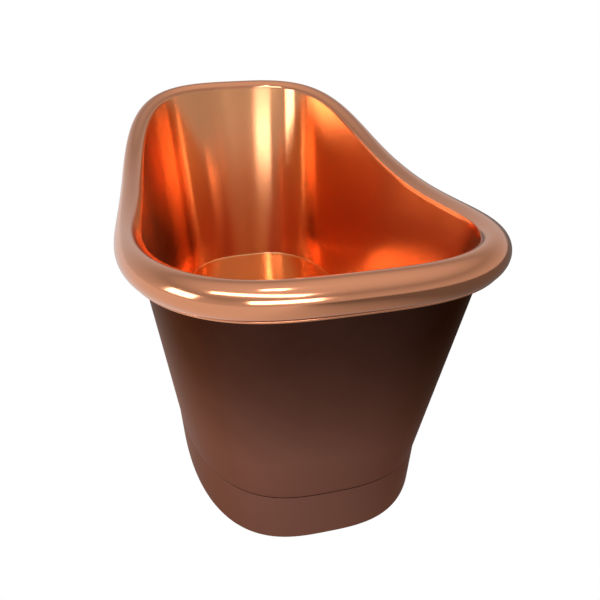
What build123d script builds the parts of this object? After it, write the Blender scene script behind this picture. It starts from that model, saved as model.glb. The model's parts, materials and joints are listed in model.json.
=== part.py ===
from build123d import *
from build123d.topology import SkipClean
from math import acos, asin, cos, degrees, pi, radians, sin
import os

# Double slipper bathtub in sheet copper, both ends raised, on an oval plinth.
# Millimetres. +X runs along the tub, +Y across it, +Z up.
# The origin is on the floor under the middle of the tub.

# Overall form
overall_length = 1694
overall_width = 797
side_height = 635          # rim crease at the low middle of the long sides
end_height = 741.5         # rim crease at the raised ends
sweep_half_length = 965    # where the curve of the rim line would level out, past the ends
sweep_power = 1.127        # how long the rim line stays low before it climbs
rim_squareness = 3.4       # exponent of the superellipse, 2 is an ellipse

# Well
floor_length = 1294
floor_width = 612
floor_height = 106
floor_squareness = 2.9
wall_sheet = 2
pan_sheet = 2

# Rolled rim
roll_radius = 31.5
roll_sheet = 2
crease_angle = 152         # where on the roll's circle the wall meets it, in degrees
roll_corners = (120, 90, 60, 30, 0, -30, -60, -90)     # between the flats of its section, in degrees
lip_angle = -58            # folded lip under the roll
lip_height = 2.5
lip_half_width = 3
roll_seam = 0.3            # from the roll's free edge to the outer skin

# Outer skin and its skirt, which the plinth band covers
skin_sheet = 1.5
skin_offset_floor = 9.5    # from the inner face of the well to the skin, at floor height
skin_offset_rim = 22       # the same at the height of the raised ends
skin_edge_height = 150
skirt_overhang = 16        # how far the skirt reaches below the support board
skin_tuck = 25             # how far below the crease the skin ends, inside the roll

# Plinth band
plinth_sheet = 1.5
plinth_setback = 1.5       # from the skin's lower edge to the face of the plinth
plinth_groove = 4          # shadow gap between the two
plinth_foot_end = 0.6      # from the end of the well's floor out to the plinth's face, at the ground
plinth_foot_side = 6.6     # the same at the sides
plinth_hem = 12
floor_gap = 2              # under the plinth, while the tub stands on its feet

# Support board and steel frame under it
board_thickness = 18
board_clearance = 0.5
board_hole_radius = 45
rail_size = 30
rail_wall = 2
cross_rail_inset = 247     # from the end of the well's floor to the middle of a cross rail
rail_end_inset = 81        # from the side of the well's floor to the cross rail's end
long_rail_y = 130
brace_x = 130
bracket_width = 24
bracket_leg = 24
bracket_sheet = 2.5
bracket_gap = 0.3          # from the sides of the flat leg to the curved skirt
bracket_angles = (25, 60, 120, 155, 205, 240, 300, 335)

# Levelling feet
foot_inset = 35            # from the cross rail's end to the middle of a foot
stud_radius = 6
stud_top_clearance = 6     # from the stud to the board
stud_hole_clearance = 0.75
nut_across_flats = 19
nut_height = 10
nut_clearance = 0.05
pad_across_flats = 40
pad_height = 12

# Waste fitting
waste_body_radius = 24.9
waste_bore_radius = 20
waste_flange_radius = 35
waste_flange_thickness = 3
waste_seat_radius = 29
waste_seat_depth = 1.5
waste_length = 66
waste_hole_clearance = 1.1
outlet_radius = 23.9       # thread for the trap, at the lower end
outlet_length = 30
top_seal_thickness = 1.5
bottom_seal_thickness = 3
seal_radius = 33.5
backnut_across_flats = 64
backnut_height = 9
bridge_depth = 34          # from the flange's top to the top of the bridge
bridge_thickness = 5
bridge_wall = 1.5          # beside the sleeve
sleeve_radius = 6
sleeve_wall = 1.5
sleeve_clearance = 6.5     # from the sleeve to the plug's boss, while shut
sleeve_spigot = 4
sleeve_floor = 2

# Click plug
plug_radius = 31
plug_edge_height = 5
plug_bevel = 2
plug_seal_clearance = 1.5  # inside the sunk seat
plug_seal_thickness = 2
plug_boss_radius = 9
plug_boss_height = 5
stem_clearance = 0.1
spring_wire = 1.2
spring_clearance = 0.3
spring_turns = 3
spring_runs = 12
spring_length = 10         # while the plug is shut

# Sampling of the free curves
quarter_points = 13
wall_panels = 32           # narrow panels that a quarter of each tall wall is drawn with
solving_steps = 40         # for the points that are found by trying again
solving_turn = 1e-3        # between the points that give a curve's direction

# Heights that follow from the stack
board_top = floor_height - pan_sheet
board_bottom = board_top - board_thickness
rail_bottom = board_bottom - rail_size
nut_bottom = rail_bottom - nut_height
skirt_bottom = board_bottom - skirt_overhang
plinth_top = skin_edge_height - plinth_groove

# Frame, inside the outline of the well's floor
cross_rail_x = floor_length / 2 - cross_rail_inset
cross_rail_half_length = floor_width / 2 - rail_end_inset
foot_y = cross_rail_half_length - foot_inset

# Rim crease, from the overall sizes and the roll
roll_centre_x = -roll_radius * cos(radians(crease_angle))
roll_centre_z = -roll_radius * sin(radians(crease_angle))
roll_reach = roll_centre_x + roll_radius
crease_half_length = overall_length / 2 - roll_reach
crease_half_width_low = overall_width / 2 - roll_reach
side_rise = (end_height - floor_height) / (side_height - floor_height)
crease_half_width = floor_width / 2 + (crease_half_width_low - floor_width / 2) * side_rise


def sweep_share(x):
    """How far the rim line has climbed at x, where 1 is level again."""
    reach = min(abs(x) / sweep_half_length, 1) ** sweep_power
    return (1 - cos(pi * reach)) / 2


def rim_height(x):
    """Height of the rim crease at x."""
    return side_height + (end_height - side_height) * sweep_share(x) / sweep_share(crease_half_length)


def superellipse(half_length, half_width, squareness, t):
    """Point of a superellipse, evenly spread over t from 0 to 2 pi."""
    c = cos(t)
    s = sin(t)
    k = (abs(c) ** squareness + abs(s) ** squareness) ** (-1 / squareness)
    return half_length * c * k, half_width * s * k


def well_point(t, z, at_floor=0.0, at_rim=0.0):
    """Point of the sloping well wall at height z, moved outward by the two offsets."""
    x0, y0 = superellipse(floor_length / 2 + at_floor, floor_width / 2 + at_floor, floor_squareness, t)
    x1, y1 = superellipse(crease_half_length + at_rim, crease_half_width + at_rim, rim_squareness, t)
    share = (z - floor_height) / (end_height - floor_height)
    return x0 + (x1 - x0) * share, y0 + (y1 - y0) * share


def plinth_point(t, z, inward=0.0):
    """Point of the plinth's tapered face at height z."""
    x, y = well_point(t, skin_edge_height, skin_offset_floor, skin_offset_rim)
    x_reach = well_point(0, skin_edge_height, skin_offset_floor, skin_offset_rim)[0]
    y_reach = well_point(pi / 2, skin_edge_height, skin_offset_floor, skin_offset_rim)[1]
    x_taper = x_reach - plinth_setback - floor_length / 2 - plinth_foot_end
    y_taper = y_reach - plinth_setback - floor_width / 2 - plinth_foot_side
    drop = (skin_edge_height - z) / skin_edge_height
    x_less = plinth_setback + inward + x_taper * drop
    y_less = plinth_setback + inward + y_taper * drop
    return x * (1 - x_less / x_reach), y * (1 - y_less / y_reach)


def oval_face(point_at, z):
    """Level face inside the oval that point_at(t, z) runs round, with an edge for each quarter."""
    steps = [pi / 2 * i / (quarter_points - 1) for i in range(quarter_points)]
    quarter = Spline(*[(*point_at(t, z), z) for t in steps], tangents=[(0, 1), (-1, 0)])
    opposite = quarter.mirror(Plane.YZ)
    return Face(Wire([quarter, opposite, opposite.mirror(Plane.XZ), quarter.mirror(Plane.XZ)]))


def oval_solid(point_at, bottom, top):
    """Solid with straight sloping sides between two levels of an oval form."""
    return loft([oval_face(point_at, bottom), oval_face(point_at, top)], ruled=True, clean=False)


def ring_solid(section_at, panels=1):
    """Closed ring round the tub, where section_at(t) gives the corners of its section at t."""
    steps = [pi / 2 * i / (quarter_points - 1) for i in range(quarter_points)]
    corners = zip(*[section_at(t) for t in steps])
    curves = [Spline(*points, tangents=[(0, 1, 0), (-1, 0, 0)]) for points in corners]
    quarter = []
    for one, other in zip(curves, curves[1:] + curves[:1]):
        for i in range(panels):
            span = (i / panels, (i + 1) / panels)
            quarter.append(Face.make_surface_from_curves(one.trim(*span), other.trim(*span)))
    half = quarter + [face.mirror(Plane.YZ) for face in quarter]
    return Solid(Shell(half + [face.mirror(Plane.XZ) for face in half]))


def crease_point(t):
    """Point of the rim crease, which lies on the wall and on the rim line."""
    z = side_height
    for _ in range(solving_steps):
        z = (z + rim_height(well_point(t, z)[0])) / 2
    return Vector(*well_point(t, z), z)


def outward(curve_at, t):
    """Level direction square to a curve round the tub, pointing away from the tub."""
    along = curve_at(t + solving_turn) - curve_at(t - solving_turn)
    return Vector(along.Y, -along.X, 0).normalized()


def floor_point(t):
    return Vector(*well_point(t, floor_height), floor_height)


def skin_point(t, z, inward=0.0):
    """Point of the outer skin at height z, moved inward."""
    return Vector(*well_point(t, z, skin_offset_floor - inward, skin_offset_rim - inward), z)


def skirt_point(t, z, inward=0.0):
    """Point of the skirt, which stands behind the plinth band."""
    return Vector(*plinth_point(t, z, plinth_sheet + inward), z)


def roll_point(radius, angle):
    """Point of the roll's circle, as reach outward from the crease and height above it."""
    return roll_centre_x + radius * cos(radians(angle)), roll_centre_z + radius * sin(radians(angle))


def roll_end_angle(t):
    """Where on its circle the roll ends, just clear of the outer skin."""
    crease = crease_point(t)
    angle = roll_corners[-1]
    for _ in range(solving_steps):
        height = roll_point(roll_radius, angle)[1]
        reach = (skin_point(t, crease.Z + height) - crease).dot(outward(crease_point, t)) + roll_seam
        angle = -degrees(acos((reach - roll_centre_x) / roll_radius))
    return angle


def roll_section(t):
    """Corners of the sheet rolled outward and under, with a folded lip low on its outer side."""
    end = roll_end_angle(t)
    inner_radius = roll_radius - roll_sheet
    inner_start = 180 - degrees(asin(-roll_centre_z / inner_radius))
    lip_half_angle = degrees(asin(lip_half_width / roll_radius))
    above = [angle for angle in roll_corners if angle > lip_angle + lip_half_angle]
    below = [angle for angle in roll_corners if angle < lip_angle - lip_half_angle]
    outside = [roll_point(roll_radius, angle) for angle in (crease_angle, *above, lip_angle + lip_half_angle)]
    outside.append(roll_point(roll_radius + lip_height, lip_angle))
    outside += [roll_point(roll_radius, angle) for angle in (lip_angle - lip_half_angle, *below, end)]
    inside = [roll_point(inner_radius, angle) for angle in (inner_start, *roll_corners, end)]
    crease = crease_point(t)
    away = outward(crease_point, t)
    return [crease + away * reach + Vector(0, 0, height) for reach, height in outside + inside[::-1]]


def disc(radius, bottom, top):
    """Upright cylinder on the Z axis between two heights."""
    return Pos(0, 0, bottom) * Cylinder(radius, top - bottom, align=(Align.CENTER, Align.CENTER, Align.MIN))


def tube(outer_radius, inner_radius, bottom, top):
    """Upright ring on the Z axis between two heights."""
    return disc(outer_radius, bottom, top) - disc(inner_radius, bottom, top)


def hexagon_nut(across_flats, bore_radius, bottom, height):
    outline = RegularPolygon(across_flats / 2, 6, major_radius=False) - Circle(bore_radius)
    return Pos(0, 0, bottom) * extrude(outline, amount=height)


def box_between(low, high):
    """Box from its lowest to its highest corner."""
    size = [high[i] - low[i] for i in range(3)]
    return Pos(*low) * Box(*size, align=(Align.MIN, Align.MIN, Align.MIN))


def inner_wall():
    """Sloping wall of the well, from the floor pan to the rim crease."""
    def section_at(t):
        crease = crease_point(t)
        floor = floor_point(t)
        return [floor, crease, crease + outward(crease_point, t) * wall_sheet,
                floor + outward(floor_point, t) * wall_sheet]
    return ring_solid(section_at, wall_panels)


def floor_pan():
    """Flat pan under the wall, holed for the waste."""
    outline = oval_face(lambda t, z: well_point(t, z, wall_sheet, wall_sheet), floor_height)
    hole = disc(waste_body_radius + waste_hole_clearance, board_top, floor_height)
    return extrude(outline, amount=-pan_sheet) - hole


def outer_skin():
    """Outer shell, stepped inward at its lower edge into the skirt behind the plinth."""
    def section_at(t):
        top = crease_point(t).Z - skin_tuck
        step = skin_edge_height + skin_sheet
        return [skin_point(t, top), skin_point(t, skin_edge_height),
                skirt_point(t, skin_edge_height), skirt_point(t, skirt_bottom),
                skirt_point(t, skirt_bottom, skin_sheet), skirt_point(t, step, skin_sheet),
                skin_point(t, step, skin_sheet), skin_point(t, top, skin_sheet)]
    return ring_solid(section_at, wall_panels)


def plinth_band():
    """Band round the foot of the tub, hemmed inward at the floor."""
    def section_at(t):
        places = [(plinth_top, 0), (floor_gap, 0), (floor_gap, plinth_hem),
                  (floor_gap + plinth_sheet, plinth_hem), (floor_gap + plinth_sheet, plinth_sheet),
                  (plinth_top, plinth_sheet)]
        return [Vector(*plinth_point(t, z, inward), z) for z, inward in places]
    return ring_solid(section_at, wall_panels)


def support_board():
    """Board under the pan, cut to fit inside the skirt."""
    inward = plinth_sheet + skin_sheet + board_clearance
    board = oval_solid(lambda t, z: plinth_point(t, z, inward), board_bottom, board_top)
    return board - disc(board_hole_radius, board_bottom, board_top)


def box_rail(length):
    """Square steel tube along X, its top at height zero."""
    outline = Rectangle(rail_size, rail_size) - Rectangle(rail_size - 2 * rail_wall, rail_size - 2 * rail_wall)
    return Pos(-length / 2, 0, -rail_size / 2) * extrude(Plane.YZ * outline, amount=length)


def cross_rail(x):
    """Rail across the tub, drilled for the two studs of its feet."""
    rail = Pos(x, 0, board_bottom) * Rot(0, 0, 90) * box_rail(2 * cross_rail_half_length)
    for y in (-foot_y, foot_y):
        rail -= Pos(x, y, 0) * disc(stud_radius + stud_hole_clearance, rail_bottom, rail_bottom + rail_wall)
    return rail


def long_rail(y):
    return Pos(0, y, board_bottom) * box_rail(2 * cross_rail_x - rail_size)


def brace(x):
    return Pos(x, 0, board_bottom) * Rot(0, 0, 90) * box_rail(2 * long_rail_y - rail_size)


def edge_bracket(t):
    """Angle that ties the skirt to the board from below, its upright leg leaning with the skirt."""
    reach = (skirt_point(t + solving_turn, board_bottom) - skirt_point(t, board_bottom)).length
    half_turn = solving_turn * bracket_width / 2 / reach

    def chord_ends(z):
        return [skirt_point(t + turn, z, skin_sheet) for turn in (-half_turn, half_turn)]

    right, left = chord_ends(board_bottom)
    away = Vector((left - right).Y, (right - left).X, 0).normalized()
    lean = (right - chord_ends(skirt_bottom)[0]).dot(away)
    inner_lean = lean * bracket_sheet / skirt_overhang
    outline = [(-bracket_gap, 0), (-bracket_gap - lean, -skirt_overhang),
               (-bracket_gap - lean - bracket_sheet, -skirt_overhang),
               (-bracket_gap - inner_lean - bracket_sheet, -bracket_sheet),
               (-bracket_leg, -bracket_sheet), (-bracket_leg, 0)]
    plane = Plane(origin=(left + right) / 2, x_dir=away, z_dir=away.cross(Vector(0, 0, 1)))
    return extrude(plane * make_face(Polyline(*outline, close=True)), amount=bracket_width / 2, both=True)


def edge_brackets():
    return [edge_bracket(radians(angle)) for angle in bracket_angles]


def foot_places():
    return [(x, y) for x in (-cross_rail_x, cross_rail_x) for y in (-foot_y, foot_y)]


def foot_nut():
    return hexagon_nut(nut_across_flats, stud_radius + nut_clearance, nut_bottom, nut_height)


def foot_stud():
    """Stud standing on the pad, up through the nut and the rail."""
    return disc(stud_radius, pad_height, board_bottom - stud_top_clearance)


def foot_pad():
    outline = RegularPolygon(pad_across_flats / 2, 6, major_radius=False)
    return extrude(outline, amount=pad_height)


# Waste fitting, stacked down from the floor pan
seal_top = floor_height + top_seal_thickness
flange_top = seal_top + waste_flange_thickness
waste_bottom = seal_top - waste_length
bottom_seal_bottom = board_top - bottom_seal_thickness
backnut_bottom = bottom_seal_bottom - backnut_height
bridge_top = flange_top - bridge_depth
sleeve_bottom = bridge_top - sleeve_spigot
plug_seat = flange_top - waste_seat_depth
plug_bottom = plug_seat + plug_seal_thickness
spring_bottom = sleeve_bottom + sleeve_floor
stem_bottom = spring_bottom + spring_length
boss_bottom = plug_bottom - plug_boss_height
sleeve_top = boss_bottom - sleeve_clearance
plug_edge_top = plug_bottom + plug_edge_height


def waste_body():
    """Flange with a sunk seat, tail, outlet, and a bridge across the bore, in one piece."""
    flange = tube(waste_flange_radius, waste_bore_radius, seal_top, flange_top)
    flange -= disc(waste_seat_radius, plug_seat, flange_top)
    outlet_top = waste_bottom + outlet_length
    tail = tube(waste_body_radius, waste_bore_radius, outlet_top, seal_top)
    outlet = tube(outlet_radius, waste_bore_radius, waste_bottom, outlet_top)
    reach = (waste_bore_radius + outlet_radius) / 2
    half_width = sleeve_radius + bridge_wall
    bridge = box_between((-reach, -half_width, bridge_top - bridge_thickness), (reach, half_width, bridge_top))
    return flange + tail + outlet + bridge - disc(sleeve_radius, sleeve_bottom, bridge_top)


def waste_top_seal():
    return tube(seal_radius, waste_body_radius, floor_height, seal_top)


def waste_bottom_seal():
    return tube(seal_radius, waste_body_radius, bottom_seal_bottom, board_top)


def waste_backnut():
    return hexagon_nut(backnut_across_flats, waste_body_radius, backnut_bottom, backnut_height)


def cartridge_sleeve():
    """Sleeve in the bridge, which holds the spring and guides the stem."""
    bore = tube(sleeve_radius, sleeve_radius - sleeve_wall, spring_bottom, sleeve_top)
    return disc(sleeve_radius, sleeve_bottom, spring_bottom) + bore


def cartridge_spring():
    """Coil spring of square wire with ground ends, in short straight runs, under the stem."""
    coil_radius = sleeve_radius - sleeve_wall - spring_clearance - spring_wire / 2
    rise = (spring_length - spring_wire) / (spring_turns * spring_runs)
    points = [Vector(coil_radius, 0, rise * i).rotate(Axis.Z, 360 * i / spring_runs)
              for i in range(spring_turns * spring_runs + 1)]
    path = Polyline(*points)
    outward_at_start = Vector(1, 0, 0).rotate(Axis.Z, 180 / spring_runs)
    section = Plane(path @ 0, x_dir=outward_at_start, z_dir=path % 0) * Rectangle(spring_wire, spring_wire)
    coil = Pos(0, 0, spring_bottom + spring_wire / 2) * sweep(section, path=path, transition=Transition.RIGHT)
    return coil & disc(sleeve_radius, spring_bottom, stem_bottom)


def plug_stem():
    """Rod that runs in the sleeve."""
    return disc(sleeve_radius - sleeve_wall - stem_clearance, stem_bottom, boss_bottom)


def plug_cap():
    """Cap with a bevelled edge, and a boss below it for the stem and the seal."""
    cap = disc(plug_radius, plug_bottom, plug_edge_top)
    cap = chamfer(cap.edges().sort_by(Axis.Z)[-1], plug_bevel)
    return cap + disc(plug_boss_radius, boss_bottom, plug_bottom)


def plug_seal():
    return tube(waste_seat_radius - plug_seal_clearance, plug_boss_radius, plug_seat, plug_bottom)


def all_pieces():
    """Every piece of the tub at rest, by the name of its node."""
    pieces = {
        "inner_wall": inner_wall(),
        "floor_pan": floor_pan(),
        "rolled_rim": ring_solid(roll_section),
        "outer_skin": outer_skin(),
        "plinth_band": plinth_band(),
        "support_board": support_board(),
        "cross_rail_near": cross_rail(-cross_rail_x),
        "cross_rail_far": cross_rail(cross_rail_x),
        "long_rail_left": long_rail(long_rail_y),
        "long_rail_right": long_rail(-long_rail_y),
        "brace_near": brace(-brace_x),
        "brace_far": brace(brace_x),
        "edge_brackets": edge_brackets(),
        "waste_body": waste_body(),
        "waste_top_seal": waste_top_seal(),
        "waste_bottom_seal": waste_bottom_seal(),
        "waste_backnut": waste_backnut(),
        "cartridge_sleeve": cartridge_sleeve(),
        "cartridge_spring": cartridge_spring(),
        "plug_stem": plug_stem(),
        "plug_cap": plug_cap(),
        "plug_seal": plug_seal(),
    }
    for number, (x, y) in enumerate(foot_places(), start=1):
        pieces[f"foot_nut_{number}"] = Pos(x, y, 0) * foot_nut()
        pieces[f"foot_stud_{number}"] = Pos(x, y, 0) * foot_stud()
        pieces[f"foot_pad_{number}"] = Pos(x, y, 0) * foot_pad()
    return pieces


os.makedirs("parts", exist_ok=True)
with SkipClean():
    for name, piece in all_pieces().items():
        group = piece if isinstance(piece, list) else piece.solids()
        export_step(Compound(children=group), f"parts/{name}.step")
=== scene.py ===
import json
import math

import bmesh
import bpy
from mathutils import Matrix, Vector


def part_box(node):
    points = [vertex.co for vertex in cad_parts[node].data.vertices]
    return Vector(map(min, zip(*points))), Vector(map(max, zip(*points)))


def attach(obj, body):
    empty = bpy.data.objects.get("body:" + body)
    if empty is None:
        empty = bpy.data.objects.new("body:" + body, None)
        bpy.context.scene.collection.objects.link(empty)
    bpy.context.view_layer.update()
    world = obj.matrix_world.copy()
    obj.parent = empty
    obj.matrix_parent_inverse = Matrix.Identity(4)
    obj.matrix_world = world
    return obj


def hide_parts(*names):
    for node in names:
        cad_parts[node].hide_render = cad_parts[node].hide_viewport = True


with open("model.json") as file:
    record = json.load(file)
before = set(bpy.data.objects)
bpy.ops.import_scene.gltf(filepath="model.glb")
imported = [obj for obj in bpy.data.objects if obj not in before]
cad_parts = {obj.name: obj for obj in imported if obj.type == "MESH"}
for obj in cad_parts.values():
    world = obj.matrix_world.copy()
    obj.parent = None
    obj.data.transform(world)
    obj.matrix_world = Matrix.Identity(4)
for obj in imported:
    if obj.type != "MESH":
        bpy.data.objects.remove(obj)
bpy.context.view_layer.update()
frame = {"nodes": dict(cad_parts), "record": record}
scene = bpy.context.scene

# Driving sizes of the tub in metres, as in the part's source
OVERALL_LENGTH = 1.694
OVERALL_WIDTH = 0.797
SIDE_HEIGHT = 0.635
END_HEIGHT = 0.7415
SWEEP_HALF_LENGTH = 0.965
SWEEP_POWER = 1.127
RIM_SQUARENESS = 3.4
FLOOR_LENGTH = 1.294
FLOOR_WIDTH = 0.612
FLOOR_HEIGHT = 0.106
FLOOR_SQUARENESS = 2.9
WALL_SHEET = 0.002
PAN_SHEET = 0.002
ROLL_RADIUS = 0.0315
ROLL_SHEET = 0.002
CREASE_ANGLE = 152
ROLL_SEAM = 0.0003          # from the roll's free edge to the skin
LIP_ANGLE = -58
LIP_RADIUS = 0.0025
SKIN_SHEET = 0.0015
SKIN_OFFSET_FLOOR = 0.0095
SKIN_OFFSET_RIM = 0.022
SKIN_EDGE_HEIGHT = 0.150
SKIRT_BOTTOM = 0.070
SKIN_TUCK = 0.025           # how far below the crease the skin ends, inside the roll
PLINTH_SHEET = 0.0015
PLINTH_SETBACK = 0.0015
PLINTH_GROOVE = 0.004
PLINTH_FOOT_END = 0.0006    # from the end of the well's floor to the plinth's face, at the ground
PLINTH_FOOT_SIDE = 0.0066
PLINTH_HEM = 0.012
FLOOR_GAP = 0.002
WASTE_HOLE_RADIUS = 0.026
PLUG_BOSS_RADIUS = 0.009
BRACKET_SHEET = 0.0025
BRACKET_ANGLES = (25, 60, 120, 155, 205, 240, 300, 335)
FEET = (1, 2, 3, 4)

# Sizes that only the finished surfaces have
CREASE_SOFTNESS = 0.007     # how far the bend at the rim crease reaches
CREASE_PULL = 0.6           # how far its handles reach, as a share of that
PAN_FILLET = 0.0045
EDGE_RADIUS = 0.0008
FILLET_PULL = 0.55          # how far a fillet's handles reach towards its corner
PLUG_CROWN = 0.0035
PLUG_EDGE = 0.001
THREAD_PITCH = 0.00175
THREAD_DEPTH = 0.0009
PAD_RADIUS = 0.020
PAD_EDGE = 0.005
PAD_NECK_RADIUS = 0.011
PAD_ROUNDING = 0.0015
SCREW_RADIUS = 0.0042
SCREW_HEIGHT = 0.0026
SCREW_INSET = 0.014         # from the skirt to the middle of a screw

# How finely the meshes are drawn
AROUND = 480                # round the tub
UP_WALL = 48
UP_PLINTH = 12
UP_HIDDEN_FACE = 12         # on the backs of the sheets
ROUND_ROLL = 72
UNDER_ROLL = 20
INSIDE_ROLL = 40
ROUND_LIP = 10
ROUND_BEND = 8
ROUND_EDGE = 4
ROUND_CORNER = 5
ROUND_CROWN = 12
ROUND_SCREW_HEAD = 6
ACROSS_PAN = 10
TURNED_SEGMENTS = 64
SCREW_SEGMENTS = 24
THREAD_SEGMENTS = 24
THREAD_ROWS = 6             # in one turn
SHARP_ANGLE = 35            # in degrees, between faces that keep a sharp edge
CREASE_STEPS = 40           # of halving the distance to the rim line
ROLL_END_STEPS = 20
DIRECTION_STEP = 1e-4       # to each side of a point, to find a curve's direction

# Copper
COPPER = (0.93, 0.39, 0.21)
WELL_COPPER = (0.95, 0.43, 0.20)
COPPER_SHADE = 0.92         # of the colour, where it is darkest
COPPER_UNEVENNESS = 0.2     # share by which the roughness varies
STREAK_TURN = 0.25
SWELL_SCALE = 5.0
SWELL_STRENGTH = 0.10
SWELL_DEPTH = 0.004
MARK_SCALE = 90.0

# Patina, darkened by painted shade under the rim and paled by a painted floor reflection low down
PATINA_DARK_WITH_SHADE = (0.070, 0.026, 0.018)
PATINA_PALE_WITH_FLOOR_LIGHT = (0.300, 0.128, 0.092)
PATINA_EDGE = (0.62, 0.46, 0.40)
PATINA_SHADE_HEIGHT = 0.70
PATINA_FLOOR_LIGHT_HEIGHT = 0.10
PATINA_MOTTLE = 0.35
PATINA_ROUGHNESS = (0.34, 0.46)
CLOUD_SCALE = 4.0
CLOUD_ROUGHNESS = 0.55
GRAIN_SCALE = 160.0
GRAIN_STRENGTH = 0.05
GRAIN_DEPTH = 0.001

# Other materials
PLAIN_SHADE = 0.8
PLAIN_UNEVENNESS = 0.15
PLAIN_STRENGTH = 0.2
PLAIN_DEPTH = 0.0006

# Studio
WHITE_STRENGTH = 1.0
SKY_STRENGTH = 0.5
ROOM_TONES = ((0.0, 0.56), (1.0, 0.70), (0.28, 0.46), (0.50, 0.34), (0.80, 0.60))
FLOOR_REACH = 12.0
FLOOR_WHITE = 0.85
FLOOR_ROUGHNESS = 0.9
FLOOR_DARK_Y, FLOOR_PALE_Y = -0.8, 0.6
FLOOR_DARK_TONE, FLOOR_PALE_TONE = 0.16, 0.72
# Two long lamps for the streaks on the near rim, one above for the pan, and a broad one on the left.
# Each has its place, the point it faces, its width and height, and its power.
LAMPS = (
    ("strip_low", (-1.85, 0.33, 1.10), (-0.83, 0.10, 0.75), 0.85, 0.30, 5),
    ("strip_high", (-1.52, 0.70, 2.08), (-0.82, 0.14, 0.75), 1.9, 0.34, 12),
    ("overhead", (-0.83, 0.24, 2.30), (-0.40, 0.0, 0.10), 0.26, 0.26, 2.5),
    ("side_panel", (-0.70, 2.60, 1.30), (-0.50, 0.30, 0.50), 1.2, 0.8, 16),
)

# Camera, from fitting it to the photograph
CAMERA_PLACE = Vector((-1.561, 0.252, 1.166))
CAMERA_YAW = -0.2222
CAMERA_PITCH = -0.4983
CAMERA_ROLL = -0.0077
CAMERA_LENS = 36.0
CAMERA_SENSOR = 36.0
CAMERA_SHIFT = (-0.0116, -0.0250)

UP = Vector((0, 0, 1))
roll_centre_x = -ROLL_RADIUS * math.cos(math.radians(CREASE_ANGLE))
roll_centre_z = -ROLL_RADIUS * math.sin(math.radians(CREASE_ANGLE))
roll_reach = roll_centre_x + ROLL_RADIUS
crease_half_length = OVERALL_LENGTH / 2 - roll_reach
crease_half_width_low = OVERALL_WIDTH / 2 - roll_reach
side_rise = (END_HEIGHT - FLOOR_HEIGHT) / (SIDE_HEIGHT - FLOOR_HEIGHT)
crease_half_width = FLOOR_WIDTH / 2 + (crease_half_width_low - FLOOR_WIDTH / 2) * side_rise


def sweep_share(x):
    reach = min(abs(x) / SWEEP_HALF_LENGTH, 1) ** SWEEP_POWER
    return (1 - math.cos(math.pi * reach)) / 2


def rim_height(x):
    return SIDE_HEIGHT + (END_HEIGHT - SIDE_HEIGHT) * sweep_share(x) / sweep_share(crease_half_length)


def superellipse(half_length, half_width, squareness, t):
    c, s = math.cos(t), math.sin(t)
    k = (abs(c) ** squareness + abs(s) ** squareness) ** (-1 / squareness)
    return half_length * c * k, half_width * s * k


def well_point(t, z, at_floor=0.0, at_rim=0.0):
    """Point of the sloping wall at height z, moved outward by the two offsets."""
    x0, y0 = superellipse(FLOOR_LENGTH / 2 + at_floor, FLOOR_WIDTH / 2 + at_floor, FLOOR_SQUARENESS, t)
    x1, y1 = superellipse(crease_half_length + at_rim, crease_half_width + at_rim, RIM_SQUARENESS, t)
    share = (z - FLOOR_HEIGHT) / (END_HEIGHT - FLOOR_HEIGHT)
    return Vector((x0 + (x1 - x0) * share, y0 + (y1 - y0) * share, z))


def skin_point(t, z, inward=0.0):
    return well_point(t, z, SKIN_OFFSET_FLOOR - inward, SKIN_OFFSET_RIM - inward)


def plinth_point(t, z, inward=0.0):
    """Point of the plinth's tapered face at height z."""
    edge = skin_point(t, SKIN_EDGE_HEIGHT)
    x_reach = skin_point(0, SKIN_EDGE_HEIGHT).x
    y_reach = skin_point(math.pi / 2, SKIN_EDGE_HEIGHT).y
    x_taper = x_reach - PLINTH_SETBACK - FLOOR_LENGTH / 2 - PLINTH_FOOT_END
    y_taper = y_reach - PLINTH_SETBACK - FLOOR_WIDTH / 2 - PLINTH_FOOT_SIDE
    drop = (SKIN_EDGE_HEIGHT - z) / SKIN_EDGE_HEIGHT
    x_less = PLINTH_SETBACK + inward + x_taper * drop
    y_less = PLINTH_SETBACK + inward + y_taper * drop
    return Vector((edge.x * (1 - x_less / x_reach), edge.y * (1 - y_less / y_reach), z))


def crease_point(t):
    """Point where the wall meets the rim line."""
    z = SIDE_HEIGHT
    for _ in range(CREASE_STEPS):
        z = (z + rim_height(well_point(t, z).x)) / 2
    return well_point(t, z)


def outward_at(point, t):
    """Level direction away from the tub, square to the curve that point(t) follows."""
    along = point(t + DIRECTION_STEP) - point(t - DIRECTION_STEP)
    return Vector((along.y, -along.x, 0)).normalized()


def finish_piece(name, mesh, material, nodes, body):
    """Object on its body, made from the mesh, in place of the nodes that it replaces."""
    shape = bmesh.new()
    shape.from_mesh(mesh)
    bmesh.ops.recalc_face_normals(shape, faces=shape.faces)
    shape.to_mesh(mesh)
    shape.free()
    mesh.shade_smooth()
    mesh.set_sharp_from_angle(angle=math.radians(SHARP_ANGLE))
    mesh.materials.append(material)
    piece = bpy.data.objects.new(name, mesh)
    scene.collection.objects.link(piece)
    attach(piece, body)
    if nodes:
        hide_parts(*nodes)
    return piece


def ring_piece(name, profile, material, slot_name, *nodes):
    """Closed mesh from the closed loop of points that profile(t) gives at each step round the tub."""
    rings = [profile(2 * math.pi * i / AROUND) for i in range(AROUND)]
    count = len(rings[0])
    points = [p for ring in rings for p in ring]
    faces = []
    for i in range(AROUND):
        for j in range(count):
            a, b = i * count, (i + 1) % AROUND * count
            k = (j + 1) % count
            faces.append((a + j, b + j, b + k, a + k))
    mesh = bpy.data.meshes.new(name)
    mesh.from_pydata(points, [], faces)
    return finish_piece(name, mesh, material, nodes, "tub")


def line(start, end, count):
    return [start.lerp(end, i / count) for i in range(count + 1)]


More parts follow.
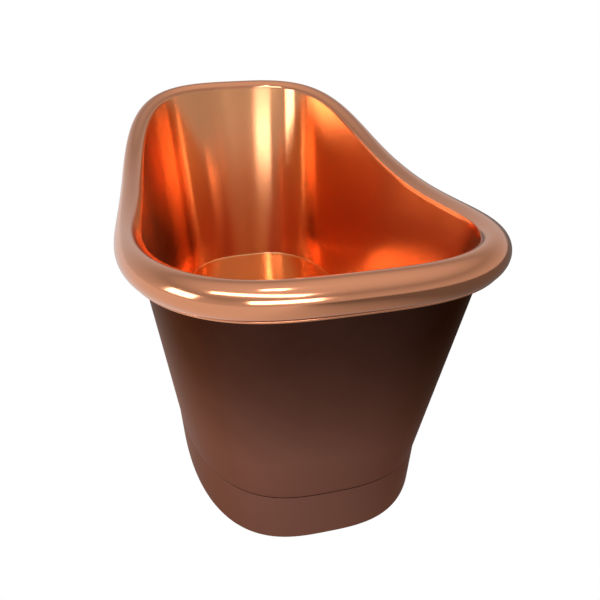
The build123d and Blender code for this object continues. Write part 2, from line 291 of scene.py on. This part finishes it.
def bezier(p0, p1, p2, p3, count):
    points = []
    for i in range(count + 1):
        u = i / count
        v = 1 - u
        points.append(p0 * v ** 3 + p1 * 3 * v * v * u + p2 * 3 * v * u * u + p3 * u ** 3)
    return points


def fillet(start, corner, end, count):
    return bezier(start, start.lerp(corner, FILLET_PULL), end.lerp(corner, FILLET_PULL), end, count)


# Materials

def new_material(name):
    material = bpy.data.materials.new(name)
    material.use_nodes = True
    nodes = material.node_tree.nodes
    return material, nodes, material.node_tree.links, nodes["Principled BSDF"]


def add(nodes, kind, **inputs):
    node = nodes.new(kind)
    for key, value in inputs.items():
        node.inputs[key.replace("_", " ")].default_value = value
    return node


def add_noise(nodes, links, place, **inputs):
    noise = add(nodes, "ShaderNodeTexNoise", **inputs)
    links.new(place.outputs["Object"], noise.inputs["Vector"])
    return noise


def set_tone(nodes, links, shader, texture, colour, shade):
    """Base colour from the given one to a darker shade of it, by the texture."""
    tone = nodes.new("ShaderNodeMix")
    tone.data_type = "RGBA"
    tone.inputs["A"].default_value = (*colour, 1)
    tone.inputs["B"].default_value = (*[c * shade for c in colour], 1)
    links.new(texture.outputs["Fac"], tone.inputs["Factor"])
    links.new(tone.outputs["Result"], shader.inputs["Base Color"])


def set_roughness(nodes, links, shader, texture, low, high):
    rough = nodes.new("ShaderNodeMapRange")
    rough.inputs["To Min"].default_value = low
    rough.inputs["To Max"].default_value = high
    links.new(texture.outputs["Fac"], rough.inputs["Value"])
    links.new(rough.outputs["Result"], shader.inputs["Roughness"])


def set_bump(nodes, links, shader, texture, strength, depth):
    bump = add(nodes, "ShaderNodeBump", Strength=strength, Distance=depth)
    links.new(texture.outputs["Fac"], bump.inputs["Height"])
    links.new(bump.outputs["Normal"], shader.inputs["Normal"])


def polished_copper(name, colour, roughness, streak=0.0):
    """Polished sheet, slightly uneven, with fine polishing marks that run round the tub."""
    material, nodes, links, shader = new_material(name)
    shader.inputs["Metallic"].default_value = 1.0
    shader.inputs["Anisotropic"].default_value = streak
    shader.inputs["Anisotropic Rotation"].default_value = STREAK_TURN
    around = nodes.new("ShaderNodeTangent")
    around.direction_type = "RADIAL"
    around.axis = "Z"
    links.new(around.outputs["Tangent"], shader.inputs["Tangent"])
    place = nodes.new("ShaderNodeTexCoord")
    swell = add_noise(nodes, links, place, Scale=SWELL_SCALE, Detail=1.0)
    marks = add_noise(nodes, links, place, Scale=MARK_SCALE, Detail=4.0)
    set_tone(nodes, links, shader, swell, colour, COPPER_SHADE)
    set_roughness(nodes, links, shader, marks,
                  roughness * (1 - COPPER_UNEVENNESS), roughness * (1 + COPPER_UNEVENNESS))
    set_bump(nodes, links, shader, swell, SWELL_STRENGTH, SWELL_DEPTH)
    return material


def patina_copper(name):
    """Brown patina, mottled, darkest under the rim as painted shade and paler towards the floor as a painted
    reflection of it.
    """
    material, nodes, links, shader = new_material(name)
    shader.inputs["Metallic"].default_value = 1.0
    shader.inputs["Specular Tint"].default_value = (*PATINA_EDGE, 1)
    place = nodes.new("ShaderNodeTexCoord")
    cloud = add_noise(nodes, links, place, Scale=CLOUD_SCALE, Detail=5.0, Roughness=CLOUD_ROUGHNESS)
    grain = add_noise(nodes, links, place, Scale=GRAIN_SCALE, Detail=3.0)
    parts = nodes.new("ShaderNodeSeparateXYZ")
    links.new(place.outputs["Object"], parts.inputs["Vector"])
    # Painted shade under the rim, fading by height to a painted floor reflection low down
    painted_height_light = nodes.new("ShaderNodeMapRange")
    painted_height_light.interpolation_type = "SMOOTHSTEP"
    painted_height_light.inputs["From Min"].default_value = PATINA_SHADE_HEIGHT
    painted_height_light.inputs["From Max"].default_value = PATINA_FLOOR_LIGHT_HEIGHT
    links.new(parts.outputs["Z"], painted_height_light.inputs["Value"])
    mottle_and_painted_light = nodes.new("ShaderNodeMath")
    mottle_and_painted_light.operation = "MULTIPLY_ADD"
    mottle_and_painted_light.inputs[1].default_value = PATINA_MOTTLE
    links.new(cloud.outputs["Fac"], mottle_and_painted_light.inputs[0])
    links.new(painted_height_light.outputs["Result"], mottle_and_painted_light.inputs[2])
    ramp = nodes.new("ShaderNodeValToRGB")
    ramp.color_ramp.elements[0].position = PATINA_MOTTLE / 2
    ramp.color_ramp.elements[0].color = (*PATINA_DARK_WITH_SHADE, 1)
    ramp.color_ramp.elements[1].position = 1.0
    ramp.color_ramp.elements[1].color = (*PATINA_PALE_WITH_FLOOR_LIGHT, 1)
    links.new(mottle_and_painted_light.outputs["Value"], ramp.inputs["Fac"])
    links.new(ramp.outputs["Color"], shader.inputs["Base Color"])
    set_roughness(nodes, links, shader, cloud, *PATINA_ROUGHNESS)
    set_bump(nodes, links, shader, grain, GRAIN_STRENGTH, GRAIN_DEPTH)
    return material


def plain_material(name, colour, roughness, metallic=0.0, grain=120.0):
    material, nodes, links, shader = new_material(name)
    shader.inputs["Metallic"].default_value = metallic
    place = nodes.new("ShaderNodeTexCoord")
    noise = add_noise(nodes, links, place, Scale=grain, Detail=4.0)
    set_tone(nodes, links, shader, noise, colour, PLAIN_SHADE)
    set_roughness(nodes, links, shader, noise,
                  roughness * (1 - PLAIN_UNEVENNESS), roughness * (1 + PLAIN_UNEVENNESS))
    set_bump(nodes, links, shader, noise, PLAIN_STRENGTH, PLAIN_DEPTH)
    return material


well_copper = polished_copper("well_copper", WELL_COPPER, roughness=0.20, streak=0.75)
pan_copper = polished_copper("pan_copper", WELL_COPPER, roughness=0.13)
rim_copper = polished_copper("rim_copper", COPPER, roughness=0.14)
# Patina with painted shade under the rim and a painted floor reflection low down
patina_with_painted_shade = patina_copper("patina_with_painted_shade")
fittings_copper = polished_copper("fittings_copper", COPPER, roughness=0.16)
plywood = plain_material("plywood", (0.36, 0.22, 0.10), roughness=0.7, grain=40.0)
zinc = plain_material("zinc", (0.55, 0.56, 0.57), roughness=0.38, metallic=1.0)
rubber = plain_material("rubber", (0.02, 0.02, 0.02), roughness=0.7)
nylon = plain_material("nylon", (0.03, 0.03, 0.03), roughness=0.5)
# Near-black painted shadow for the skirt faces inside the groove under the skin's edge
painted_gap_shadow = plain_material("painted_gap_shadow", (0.012, 0.006, 0.005), roughness=0.6, metallic=0.5)


# Shell pieces

def wall_profile(t):
    """Wall from its fillet on the pan up to the soft bend at the crease, and back down outside."""
    top = crease_point(t)
    floor = well_point(t, FLOOR_HEIGHT)
    out = outward_at(lambda s: well_point(s, FLOOR_HEIGHT), t)
    start = floor - out * PAN_FILLET
    slope = (top - floor).normalized()
    end = floor + slope * PAN_FILLET
    stop = top - slope * CREASE_SOFTNESS
    inner = fillet(start, floor, end, ROUND_BEND) + line(end, stop, UP_WALL)[1:]
    outer_top = well_point(t, stop.z, WALL_SHEET, WALL_SHEET)
    outer_bottom = well_point(t, FLOOR_HEIGHT, WALL_SHEET, WALL_SHEET)
    return inner + line(outer_top, outer_bottom, UP_HIDDEN_FACE)


def roll_end_angle(t):
    """Where on its circle the roll ends, just clear of the skin."""
    crease = crease_point(t)
    out = outward_at(crease_point, t)
    angle = -90             # the roll's lowest point, to start from
    for _ in range(ROLL_END_STEPS):
        z = crease.z + roll_centre_z + ROLL_RADIUS * math.sin(math.radians(angle))
        reach = (skin_point(t, z) - crease).dot(out) + ROLL_SEAM
        angle = -math.degrees(math.acos((reach - roll_centre_x) / ROLL_RADIUS))
    return angle


def rim_profile(t):
    """Roll from the soft bend at the crease, over and under, with its lip, and back inside."""
    crease = crease_point(t)
    out = outward_at(crease_point, t)
    slope = (crease - well_point(t, FLOOR_HEIGHT)).normalized()
    centre = crease + out * roll_centre_x + UP * roll_centre_z

    def round_point(middle, radius, angle):
        a = math.radians(angle)
        return middle + out * (radius * math.cos(a)) + UP * (radius * math.sin(a))

    def arc(first, last, count, radius=ROLL_RADIUS):
        return [round_point(centre, radius, first + (last - first) * i / count) for i in range(count + 1)]

    end_angle = roll_end_angle(t)
    first_angle = CREASE_ANGLE - math.degrees(CREASE_SOFTNESS / ROLL_RADIUS)
    start = crease - slope * CREASE_SOFTNESS
    first = round_point(centre, ROLL_RADIUS, first_angle)
    along = (round_point(centre, ROLL_RADIUS, first_angle - 1) - first).normalized()
    pull = CREASE_SOFTNESS * CREASE_PULL
    points = bezier(start, start + slope * pull, first - along * pull, first, ROUND_BEND)

    lip_half_angle = 2 * math.degrees(math.asin(LIP_RADIUS / 2 / ROLL_RADIUS))
    lip_centre = round_point(centre, ROLL_RADIUS, LIP_ANGLE)
    points += arc(first_angle, LIP_ANGLE + lip_half_angle, ROUND_ROLL)[1:]
    points += [round_point(lip_centre, LIP_RADIUS, LIP_ANGLE + 90 - 180 * i / ROUND_LIP)
               for i in range(1, ROUND_LIP)]
    points += arc(LIP_ANGLE - lip_half_angle, end_angle, UNDER_ROLL)
    points += arc(end_angle, CREASE_ANGLE, INSIDE_ROLL, ROLL_RADIUS - ROLL_SHEET)
    points.append(start + out * WALL_SHEET)
    return points


def skin_top_point(t, inward=0.0):
    """Top edge of the skin, inside the roll."""
    return skin_point(t, crease_point(t).z - SKIN_TUCK, inward)


def skin_profile(t):
    """Outer face from under the roll down to the shadow gap, in to the skirt, and back up inside."""
    bottom = skin_point(t, SKIN_EDGE_HEIGHT + EDGE_RADIUS)
    corner = skin_point(t, SKIN_EDGE_HEIGHT)
    under = skin_point(t, SKIN_EDGE_HEIGHT, EDGE_RADIUS)
    outer = line(skin_top_point(t), bottom, UP_WALL) + fillet(bottom, corner, under, ROUND_EDGE)[1:]
    skirt_top = SKIN_EDGE_HEIGHT + SKIN_SHEET
    skirt_inward = PLINTH_SHEET + SKIN_SHEET
    skirt = [plinth_point(t, SKIN_EDGE_HEIGHT, PLINTH_SHEET), plinth_point(t, SKIRT_BOTTOM, PLINTH_SHEET),
             plinth_point(t, SKIRT_BOTTOM, skirt_inward), plinth_point(t, skirt_top, skirt_inward)]
    inner_bottom = skin_point(t, skirt_top, SKIN_SHEET)
    return outer + skirt + line(inner_bottom, skin_top_point(t, SKIN_SHEET), UP_HIDDEN_FACE)


def plinth_profile(t):
    """Outer face with small rounded edges, the inner face and the hem at the floor."""
    top = SKIN_EDGE_HEIGHT - PLINTH_GROOVE
    hem_top = FLOOR_GAP + PLINTH_SHEET
    face_low = plinth_point(t, hem_top)
    face_high = plinth_point(t, top - PLINTH_SHEET / 2)
    top_corner = plinth_point(t, top)
    low_corner = plinth_point(t, FLOOR_GAP)
    top_edge = plinth_point(t, top, PLINTH_SHEET / 2)
    low_edge = plinth_point(t, FLOOR_GAP, PLINTH_SHEET)
    points = line(face_low, face_high, UP_PLINTH)
    points += bezier(face_high, top_corner, top_corner, top_edge, ROUND_EDGE)[1:]
    for z, inward in ((top, PLINTH_SHEET), (hem_top, PLINTH_SHEET), (hem_top, PLINTH_HEM),
                      (FLOOR_GAP, PLINTH_HEM)):
        points.append(plinth_point(t, z, inward))
    points += bezier(low_edge, low_corner, low_corner, face_low, ROUND_EDGE)[:-1]
    return points


def pan_profile(t):
    """Flat pan from its hole out to under the wall."""
    floor = well_point(t, FLOOR_HEIGHT)
    a = math.atan2(floor.y, floor.x)
    hole = Vector((math.cos(a), math.sin(a), 0)) * WASTE_HOLE_RADIUS
    rim = well_point(t, FLOOR_HEIGHT, WALL_SHEET, WALL_SHEET)
    top = line(Vector((hole.x, hole.y, FLOOR_HEIGHT)), rim, ACROSS_PAN)
    low = [p - UP * PAN_SHEET for p in reversed(top)]
    return top + low


ring_piece("well_wall", wall_profile, well_copper, "polished_copper", "inner_wall")
ring_piece("well_pan", pan_profile, pan_copper, "polished_copper", "floor_pan")
ring_piece("rim_roll", rim_profile, rim_copper, "polished_copper", "rolled_rim")
skin = ring_piece("shell_skin", skin_profile, patina_with_painted_shade, "patina_copper", "outer_skin")
# The skirt faces inside the groove take the near-black painted shadow
skin.data.materials.append(painted_gap_shadow)
for face in skin.data.polygons:
    if face.center.z < SKIN_EDGE_HEIGHT - EDGE_RADIUS:
        face.material_index = 1
ring_piece("plinth_skirt", plinth_profile, patina_with_painted_shade, "patina_copper", "plinth_band")


# Fittings

def mesh_from(shape, name):
    mesh = bpy.data.meshes.new(name)
    shape.to_mesh(mesh)
    shape.free()
    return mesh


def turned_piece(name, outline, place, material, slot_name, *nodes, body="tub", segments=TURNED_SEGMENTS):
    """Closed mesh turned round an upright axis from (radius, height) points, from the axis back to it."""
    shape = bmesh.new()
    rings = []
    for radius, z in outline:
        turns = segments if radius > 0 else 1
        rings.append([shape.verts.new((place[0] + radius * math.cos(2 * math.pi * i / segments),
                                       place[1] + radius * math.sin(2 * math.pi * i / segments), z))
                      for i in range(turns)])
    for one, other in zip(rings, rings[1:]):
        for i in range(segments):
            k = (i + 1) % segments
            corners = [one[i % len(one)], one[k % len(one)], other[k % len(other)], other[i % len(other)]]
            shape.faces.new(list(dict.fromkeys(corners)))
    return finish_piece(name, mesh_from(shape, name), material, nodes, body)


def rounded(corners, radius):
    """Outline with each of its corners off the axis rounded."""
    points = [corners[0]]
    for before, corner, after in zip(corners, corners[1:], corners[2:]):
        a, b, c = (Vector(p) for p in (before, corner, after))
        reach = min(radius, (a - b).length / 2, (c - b).length / 2)
        start = b + (a - b).normalized() * reach
        end = b + (c - b).normalized() * reach
        points += [tuple(start * (1 - u) ** 2 + b * 2 * u * (1 - u) + end * u * u)
                   for u in (i / ROUND_CORNER for i in range(ROUND_CORNER + 1))]
    return points + [corners[-1]]


def threaded_rod(name, radius, bottom, top, place, material, slot_name, *nodes, body):
    """Rod with a helical thread, its ends level."""
    shape = bmesh.new()
    rows = int((top - bottom) / THREAD_PITCH * THREAD_ROWS)
    rings = []
    for row in range(rows + 1):
        z = bottom + (top - bottom) * row / rows
        ring = []
        for i in range(THREAD_SEGMENTS):
            turn = (z / THREAD_PITCH - i / THREAD_SEGMENTS) % 1
            r = radius - THREAD_DEPTH * abs(2 * turn - 1)
            a = 2 * math.pi * i / THREAD_SEGMENTS
            ring.append(shape.verts.new((place[0] + r * math.cos(a), place[1] + r * math.sin(a), z)))
        rings.append(ring)
    for one, other in zip(rings, rings[1:]):
        for i in range(THREAD_SEGMENTS):
            k = (i + 1) % THREAD_SEGMENTS
            shape.faces.new((one[i], one[k], other[k], other[i]))
    shape.faces.new(rings[0][::-1])
    shape.faces.new(rings[-1])
    return finish_piece(name, mesh_from(shape, name), material, nodes, body)


cap_low, cap_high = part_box("plug_cap")
cap_radius = (cap_high[0] - cap_low[0]) / 2
cap_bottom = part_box("plug_seal")[1][2]
cap_side = cap_high[2] - PLUG_CROWN
cap_outline = [(0, cap_low[2]), (PLUG_BOSS_RADIUS, cap_low[2]), (PLUG_BOSS_RADIUS, cap_bottom),
               (cap_radius - PLUG_EDGE, cap_bottom), (cap_radius, cap_bottom + PLUG_EDGE)]
cap_outline += [(cap_radius * math.sin(a), cap_side + PLUG_CROWN * math.cos(a))
                for a in (math.pi / 2 * (1 - i / ROUND_CROWN) for i in range(ROUND_CROWN))]
cap_outline.append((0, cap_high[2]))
turned_piece("plug_top", cap_outline, (0, 0), fittings_copper, "waste_copper", "plug_cap", body="plug")

for number in FEET:
    low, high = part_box(f"foot_stud_{number}")
    place = ((low[0] + high[0]) / 2, (low[1] + high[1]) / 2)
    stud_radius = (high[0] - low[0]) / 2
    threaded_rod(f"threaded_stud_{number}", stud_radius, low[2], high[2], place, zinc, "zinc_steel",
                 f"foot_stud_{number}", body=f"foot_{number}")
    pad_top = low[2]
    pad_corners = [(0, 0), (PAD_RADIUS, 0), (PAD_RADIUS, PAD_EDGE), (PAD_NECK_RADIUS, pad_top), (0, pad_top)]
    turned_piece(f"foot_disc_{number}", rounded(pad_corners, PAD_ROUNDING), place, nylon, "nylon",
                 f"foot_pad_{number}", body=f"foot_{number}")

# Pan-head screws up through the brackets' flat legs into the board
bracket_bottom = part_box("support_board")[0][2] - BRACKET_SHEET
screw_outline = [(0, bracket_bottom), (SCREW_RADIUS, bracket_bottom)]
screw_outline += [(SCREW_RADIUS * math.cos(a), bracket_bottom - SCREW_HEIGHT * math.sin(a))
                  for a in (math.pi / 2 * i / ROUND_SCREW_HEAD for i in range(1, ROUND_SCREW_HEAD))]
screw_outline.append((0, bracket_bottom - SCREW_HEIGHT))
for number, angle in enumerate(BRACKET_ANGLES, start=1):
    t = math.radians(angle)
    out = outward_at(lambda s: plinth_point(s, SKIRT_BOTTOM), t)
    middle = plinth_point(t, bracket_bottom, PLINTH_SHEET + SKIN_SHEET) - out * SCREW_INSET
    turned_piece(f"bracket_screw_{number}", screw_outline, middle.xy, zinc, "zinc_steel",
                 segments=SCREW_SEGMENTS)

# Finishes of the pieces that keep their shape
SLOT_FINISH = {
    "plywood": plywood, "galvanised_steel": zinc, "zinc_steel": zinc, "waste_copper": fittings_copper,
    "black_rubber": rubber, "spring_steel": zinc, "nylon": nylon,
}
for part in frame["record"]["subparts"]:
    if part["material_slot"] in SLOT_FINISH:
        mesh = frame["nodes"][part["node"]].data
        mesh.materials.clear()
        mesh.materials.append(SLOT_FINISH[part["material_slot"]])


# Studio

def look_from(place, target):
    return (Vector(place) - Vector(target)).to_track_quat("Z", "Y").to_matrix().to_4x4()


def area_light(name, place, target, width, height, power):
    data = bpy.data.lights.new(name, "AREA")
    data.shape = "RECTANGLE"
    data.size, data.size_y = width, height
    data.energy = power
    light = bpy.data.objects.new(name, data)
    light.matrix_world = Matrix.Translation(place) @ look_from(place, target)
    light.visible_camera = False
    scene.collection.objects.link(light)


def white_for_camera(tree, shaded):
    """Shader that is white to the camera, plain to mirrors, and shaded to everything else."""
    nodes, links = tree.nodes, tree.links
    path = nodes.new("ShaderNodeLightPath")
    white = nodes.new("ShaderNodeEmission" if shaded.node.type != "BACKGROUND" else "ShaderNodeBackground")
    plain = nodes.new(white.bl_idname)
    for node in (white, plain):
        node.inputs["Color"].default_value = (1, 1, 1, 1)
        node.inputs["Strength"].default_value = WHITE_STRENGTH
    mirrors = nodes.new("ShaderNodeMath")
    mirrors.operation = "MAXIMUM"
    links.new(path.outputs["Is Glossy Ray"], mirrors.inputs[0])
    links.new(path.outputs["Is Transmission Ray"], mirrors.inputs[1])
    to_mirrors = nodes.new("ShaderNodeMixShader")
    links.new(mirrors.outputs[0], to_mirrors.inputs["Fac"])
    links.new(shaded, to_mirrors.inputs[1])
    links.new(plain.outputs[0], to_mirrors.inputs[2])
    to_camera = nodes.new("ShaderNodeMixShader")
    links.new(path.outputs["Is Camera Ray"], to_camera.inputs["Fac"])
    links.new(to_mirrors.outputs[0], to_camera.inputs[1])
    links.new(white.outputs[0], to_camera.inputs[2])
    return to_camera.outputs[0], plain


world = bpy.data.worlds.new("studio")
scene.world = world
world.use_nodes = True
world_nodes, world_links = world.node_tree.nodes, world.node_tree.links
sky = world_nodes["Background"]
sky.inputs["Color"].default_value = (1, 1, 1, 1)
sky.inputs["Strength"].default_value = SKY_STRENGTH
surface, mirrored = white_for_camera(world.node_tree, sky.outputs[0])
# What mirrors see of the room depends on the Z part of the ray's direction
direction = world_nodes.new("ShaderNodeTexCoord")
direction_parts = world_nodes.new("ShaderNodeSeparateXYZ")
world_links.new(direction.outputs["Generated"], direction_parts.inputs["Vector"])
room = world_nodes.new("ShaderNodeValToRGB")
world_links.new(direction_parts.outputs["Z"], room.inputs["Fac"])
stops = room.color_ramp.elements
ready_stops = len(stops)    # a new ramp has one at each end, and ROOM_TONES starts with those two
for number, (place, tone) in enumerate(ROOM_TONES):
    stop = stops[number] if number < ready_stops else stops.new(place)
    stop.position = place
    stop.color = (tone, tone, tone, 1)
world_links.new(room.outputs["Color"], mirrored.inputs["Color"])
world_links.new(surface, world_nodes["World Output"].inputs["Surface"])

floor_mesh = bpy.data.meshes.new("studio_floor")
floor_corners = [(x * FLOOR_REACH, y * FLOOR_REACH, 0) for x, y in ((-1, -1), (1, -1), (1, 1), (-1, 1))]
floor_mesh.from_pydata(floor_corners, [], [(0, 1, 2, 3)])
floor_object = bpy.data.objects.new("studio_floor", floor_mesh)
scene.collection.objects.link(floor_object)
floor_material, floor_nodes, floor_links, floor_shader = new_material("studio_floor")
floor_shader.inputs["Base Color"].default_value = (FLOOR_WHITE, FLOOR_WHITE, FLOOR_WHITE, 1)
floor_shader.inputs["Roughness"].default_value = FLOOR_ROUGHNESS
floor_surface, floor_mirrored = white_for_camera(floor_material.node_tree, floor_shader.outputs[0])
# What mirrors see of the floor is darker on the tub's right
floor_place = floor_nodes.new("ShaderNodeTexCoord")
floor_parts = floor_nodes.new("ShaderNodeSeparateXYZ")
floor_links.new(floor_place.outputs["Object"], floor_parts.inputs["Vector"])
floor_tone = floor_nodes.new("ShaderNodeMapRange")
floor_tone.interpolation_type = "SMOOTHSTEP"
for socket, value in (("From Min", FLOOR_DARK_Y), ("From Max", FLOOR_PALE_Y),
                      ("To Min", FLOOR_DARK_TONE), ("To Max", FLOOR_PALE_TONE)):
    floor_tone.inputs[socket].default_value = value
floor_links.new(floor_parts.outputs["Y"], floor_tone.inputs["Value"])
floor_links.new(floor_tone.outputs["Result"], floor_mirrored.inputs["Strength"])
floor_links.new(floor_surface, floor_nodes["Material Output"].inputs["Surface"])
floor_mesh.materials.append(floor_material)

for lamp in LAMPS:
    area_light(*lamp)

# Camera
forward = Vector((math.cos(CAMERA_YAW) * math.cos(CAMERA_PITCH),
                  math.sin(CAMERA_YAW) * math.cos(CAMERA_PITCH), math.sin(CAMERA_PITCH)))
right = Vector((math.sin(CAMERA_YAW), -math.cos(CAMERA_YAW), 0))
right = right * math.cos(CAMERA_ROLL) + right.cross(forward) * math.sin(CAMERA_ROLL)
camera_data = bpy.data.cameras.new("camera")
camera_data.lens = CAMERA_LENS
camera_data.sensor_width = CAMERA_SENSOR
camera_data.shift_x, camera_data.shift_y = CAMERA_SHIFT
camera = bpy.data.objects.new("camera", camera_data)
turn = Matrix((right, right.cross(forward), -forward)).transposed().to_4x4()
camera.matrix_world = Matrix.Translation(CAMERA_PLACE) @ turn
scene.collection.objects.link(camera)
scene.camera = camera
scene.view_settings.view_transform = "Standard"
